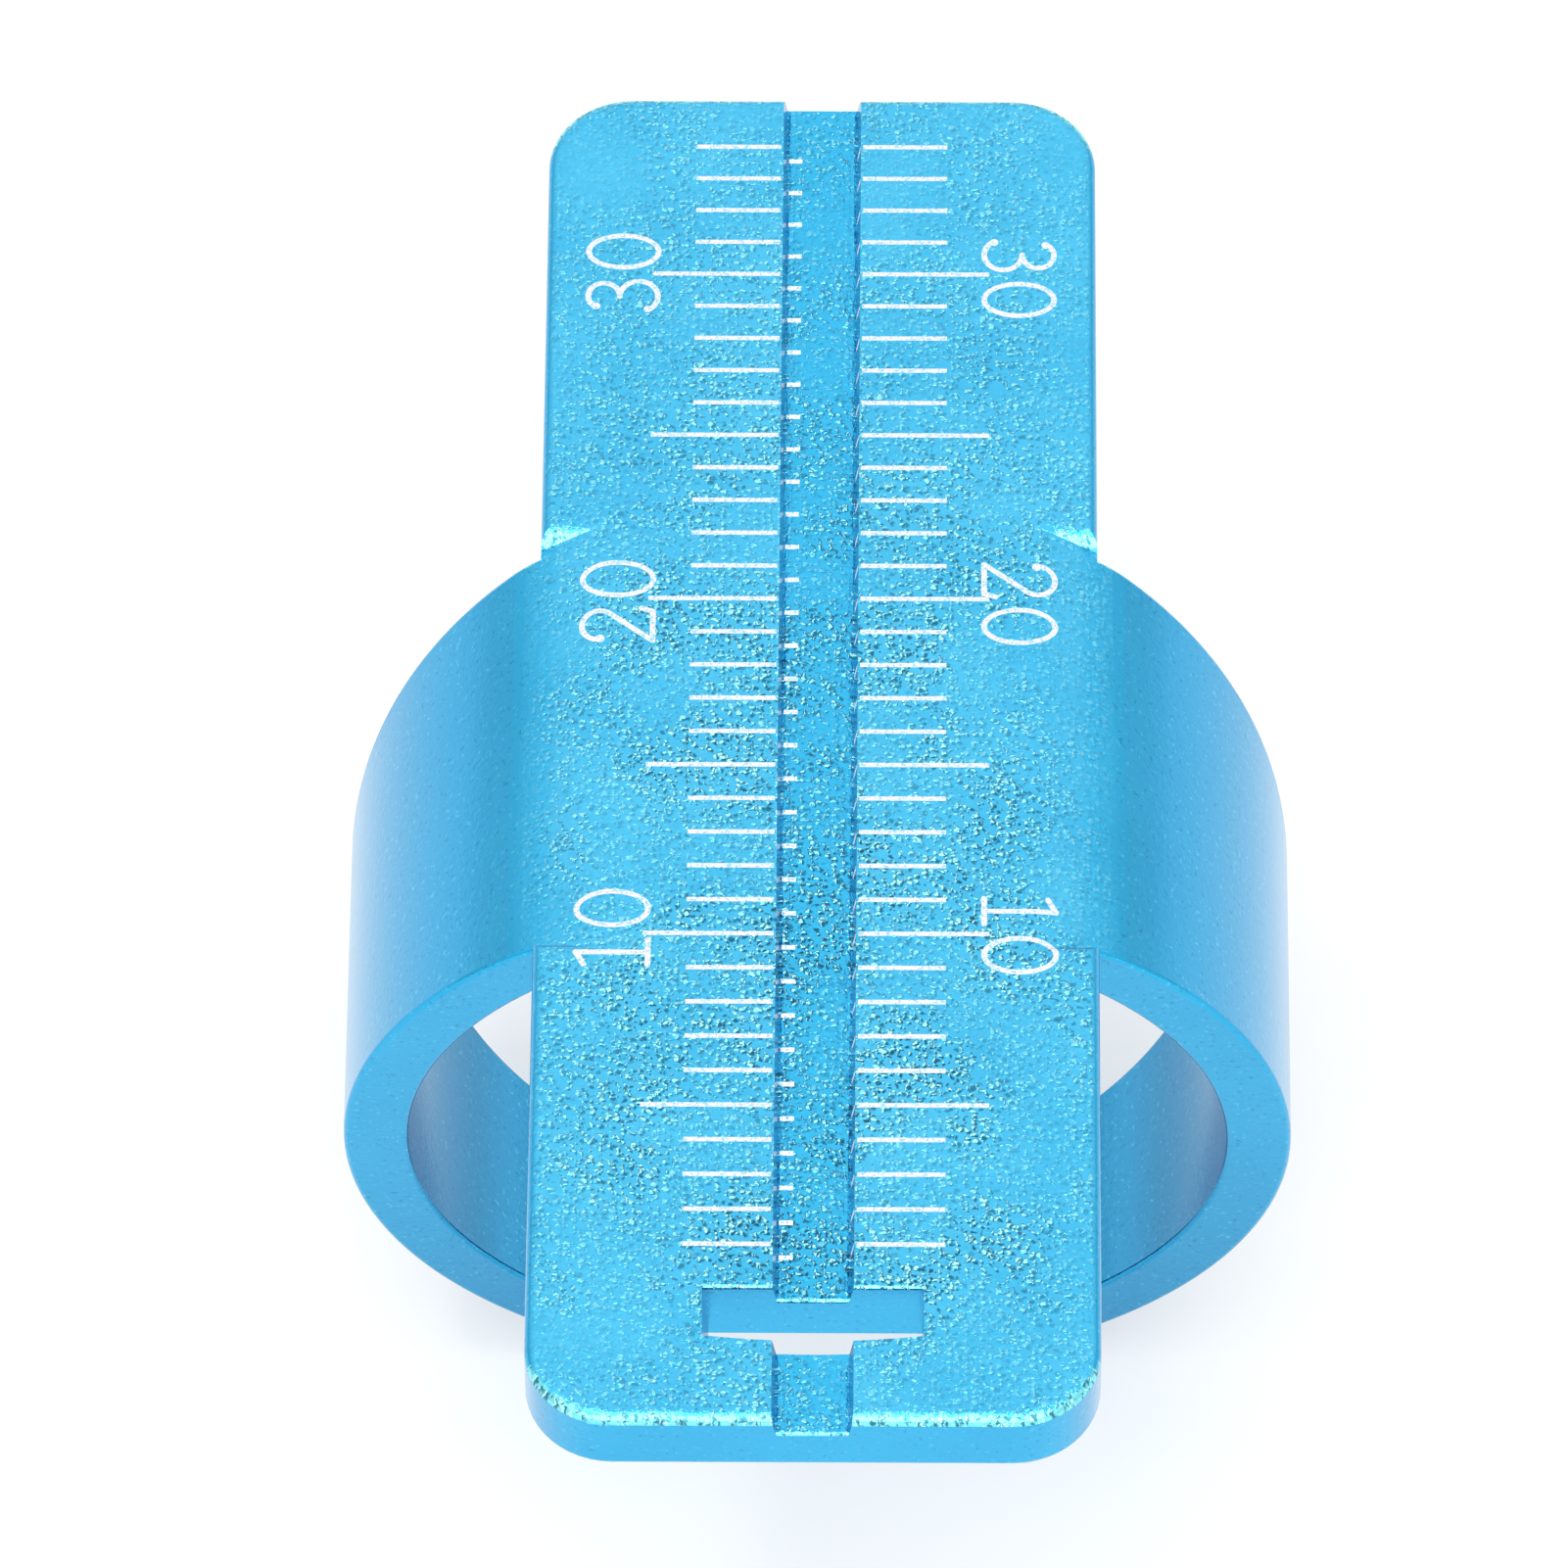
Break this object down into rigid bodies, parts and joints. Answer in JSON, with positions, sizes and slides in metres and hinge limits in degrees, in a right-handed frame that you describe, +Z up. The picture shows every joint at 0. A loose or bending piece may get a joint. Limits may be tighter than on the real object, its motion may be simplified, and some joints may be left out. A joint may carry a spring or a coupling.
{
  "type": "endodontic finger ruler",
  "caption": "Open finger ring carrying a flat millimetre ruler with a central instrument groove, a cross slot for a stopper, and white laser-marked lines and numerals on both sides.",
  "frame": {"origin": "on the axis of the finger hole, midway along the hole's wall where it meets the plate's underside", "axes": "+Y along the plate and the finger hole, the way the scale's numbers rise; +Z up out of the plate's marked face; +X to the right when the scale's zero is nearest"},
  "size_m": [0.0234, 0.0396, 0.0211],
  "materials": {
    "blue_anodised_aluminium": "satin",
    "laser_white": "matte"
  },
  "bodies": {
    "root": {"ruler_plate": "blue_anodised_aluminium", "finger_band_left": "blue_anodised_aluminium", "finger_band_right": "blue_anodised_aluminium", "millimetre_lines_left": "laser_white", "five_lines_left": "laser_white", "numeral_10_left": "laser_white", "numeral_20_left": "laser_white", "numeral_30_left": "laser_white", "millimetre_lines_right": "laser_white", "five_lines_right": "laser_white", "numeral_10_right": "laser_white", "numeral_20_right": "laser_white", "numeral_30_right": "laser_white", "groove_dashes_left": "laser_white", "groove_ticks_right": "laser_white"}
  },
  "joints": []
}
